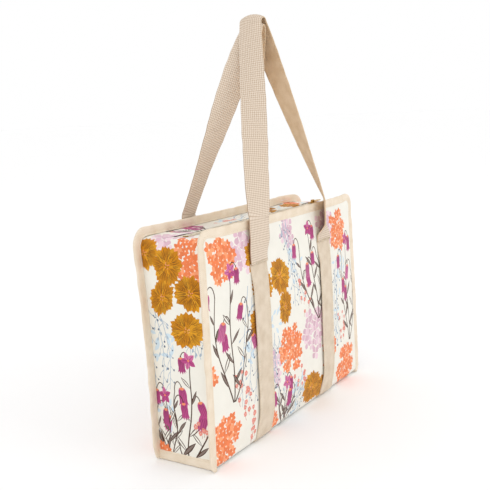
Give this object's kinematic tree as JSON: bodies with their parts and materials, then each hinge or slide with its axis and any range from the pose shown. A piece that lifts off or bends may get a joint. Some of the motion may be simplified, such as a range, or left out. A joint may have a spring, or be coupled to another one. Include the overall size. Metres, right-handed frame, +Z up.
{
  "type": "knitting bag",
  "caption": "Boxed cloth project bag with bound seams that stand proud, a zipped mouth that opens as two lifting strips, and webbing handles sewn over load tapes.",
  "frame": {"origin": "middle of the underside, on the floor", "axes": "+X along the bag's width, front faces -Y, +Z up"},
  "size_m": [0.424, 0.1142, 0.5611],
  "materials": {
    "printed_canvas": "plain-weave cotton canvas with a flower print",
    "bias_binding": "plain cotton bias binding, pressed and sewn",
    "cotton_tape": "smooth twill cotton tape",
    "cotton_webbing": "basket-weave cotton webbing",
    "zip_tape": "woven zip tape",
    "zip_coil": "moulded nylon coil",
    "zip_metal": "die cast, plated and polished",
    "lining": "plain cotton lining",
    "board": "stiff board",
    "thread": "sewing thread"
  },
  "bodies": {
    "bag": {"body_wrap": "printed_canvas", "side_gusset_left": "printed_canvas", "side_gusset_right": "printed_canvas", "mouth_seam_edge_front": "printed_canvas", "mouth_seam_edge_back": "printed_canvas", "binding_front": "bias_binding", "binding_back": "bias_binding", "base_binding_left": "bias_binding", "base_binding_right": "bias_binding", "tape_band_left": "cotton_tape", "tape_band_right": "cotton_tape", "handle_ends_front": "cotton_webbing", "handle_ends_back": "cotton_webbing", "handle_stitching_front": "thread", "handle_stitching_back": "thread", "zip_ends": "zip_tape", "zip_stops": "zip_metal", "lining_body": "lining", "lining_gusset_left": "lining", "lining_gusset_right": "lining", "base_board": "board"},
    "mouth_front": {"mouth_strip_front": "printed_canvas", "zip_tape_front": "zip_tape", "zip_coil_front": "zip_coil"},
    "mouth_back": {"mouth_strip_back": "printed_canvas", "zip_tape_back": "zip_tape", "zip_coil_back": "zip_coil"},
    "handle_front": {"handle_front": "cotton_webbing"},
    "handle_back": {"handle_back": "cotton_webbing"},
    "zip_slider": {"zip_slider": "zip_metal"},
    "zip_pull": {"zip_pull": "zip_metal"}
  },
  "joints": [
    {"name": "handle_front_fold", "type": "hinge", "parent": "bag", "child": "handle_front", "pos_m": [0, -0.0515, 0.246], "axis": [1, 0, 0], "range_deg": [0, 140]},
    {"name": "handle_back_fold", "type": "hinge", "parent": "bag", "child": "handle_back", "pos_m": [0, 0.0515, 0.246], "axis": [-1, 0, 0], "range_deg": [0, 140]},
    {"name": "mouth_front_lift", "type": "hinge", "parent": "bag", "child": "mouth_front", "pos_m": [0, -0.045, 0.2844], "axis": [1, 0, 0], "range_deg": [0, 75]},
    {"name": "mouth_back_lift", "type": "hinge", "parent": "bag", "child": "mouth_back", "pos_m": [0, 0.045, 0.2844], "axis": [-1, 0, 0], "range_deg": [0, 75]},
    {"name": "zip_slide", "type": "slide", "parent": "bag", "child": "zip_slider", "axis": [-1, 0, 0], "range_m": [0, 0.33]},
    {"name": "zip_pull_turn", "type": "hinge", "parent": "zip_slider", "child": "zip_pull", "pos_m": [0.165, 0, 0.2882], "axis": [0, -1, 0], "range_deg": [0, 180]}
  ]
}
